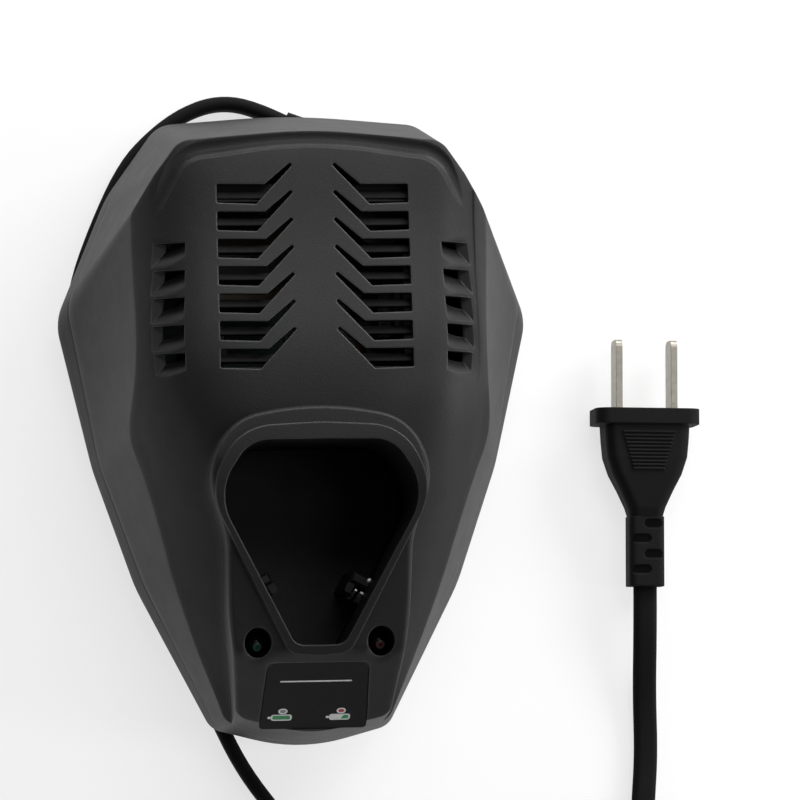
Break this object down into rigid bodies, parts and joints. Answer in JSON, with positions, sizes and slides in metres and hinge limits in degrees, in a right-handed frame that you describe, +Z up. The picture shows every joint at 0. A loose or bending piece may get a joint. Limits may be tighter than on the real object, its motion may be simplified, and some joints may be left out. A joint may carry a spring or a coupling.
{
  "type": "lithium battery charger",
  "caption": "Desktop charger for a stick battery: tapered housing, chevron and gill vents, raised battery well with sprung contacts, two lamps, flat mains cord and blade plug.",
  "frame": {"origin": "on the surface that the charger stands on, under the middle of its body", "axes": "+Z up, +Y towards the rear of the deck, where the cord leaves; the well and the label face -Y"},
  "size_m": [0.1455, 0.2355, 0.0688],
  "materials": {
    "housing": "fine grain moulding, dark",
    "liner": "smooth moulding, dark",
    "label": "printed film",
    "lens_green": "tinted clear",
    "lens_red": "tinted clear",
    "circuit_board": "solder mask",
    "screw": "zinc plated",
    "contact": "plated spring strip",
    "ferrite": "sintered",
    "winding": "taped winding",
    "capacitor": "shrink sleeve",
    "component": "moulded",
    "aluminium": "plain",
    "fuse": "clear tube with caps",
    "connector": "natural nylon",
    "rubber": "moulded",
    "cord": "flexible sheath",
    "plug": "moulded on",
    "blade": "nickel plated"
  },
  "bodies": {
    "housing": {"top_housing": "housing", "bottom_housing": "housing", "battery_well": "liner", "vent_baffle": "housing", "label_plate": "label", "led_green": "lens_green", "led_red": "lens_red", "lamp_board": "circuit_board", "lamp_board_screws": "screw", "well_screws": "screw", "housing_screws": "screw", "board_screws": "screw", "contact_carrier_left": "liner", "contact_carrier_right": "liner", "circuit_board": "circuit_board", "transformer_core": "ferrite", "transformer_winding": "winding", "input_capacitor": "capacitor", "output_capacitor": "capacitor", "bridge_rectifier": "component", "heat_sink": "aluminium", "power_transistor": "component", "fuse": "fuse", "choke": "winding", "controller_chip": "component", "lead_connector": "connector", "rubber_feet": "rubber", "strain_relief": "cord", "mains_cord": "cord", "cord_coil": "cord", "plug_cord": "cord", "plug_body": "plug", "plug_blades": "blade"},
    "contact_positive": {"contact_positive": "contact"},
    "contact_negative": {"contact_negative": "contact"}
  },
  "joints": [
    {"name": "contact_positive_spring", "type": "slide", "parent": "housing", "child": "contact_positive", "axis": [0.4715, 0.8819, 0], "range_m": [0, 0.0006], "stiffness_N_per_m": 150},
    {"name": "contact_negative_spring", "type": "slide", "parent": "housing", "child": "contact_negative", "axis": [-0.4715, 0.8819, 0], "range_m": [0, 0.0006], "stiffness_N_per_m": 150}
  ]
}
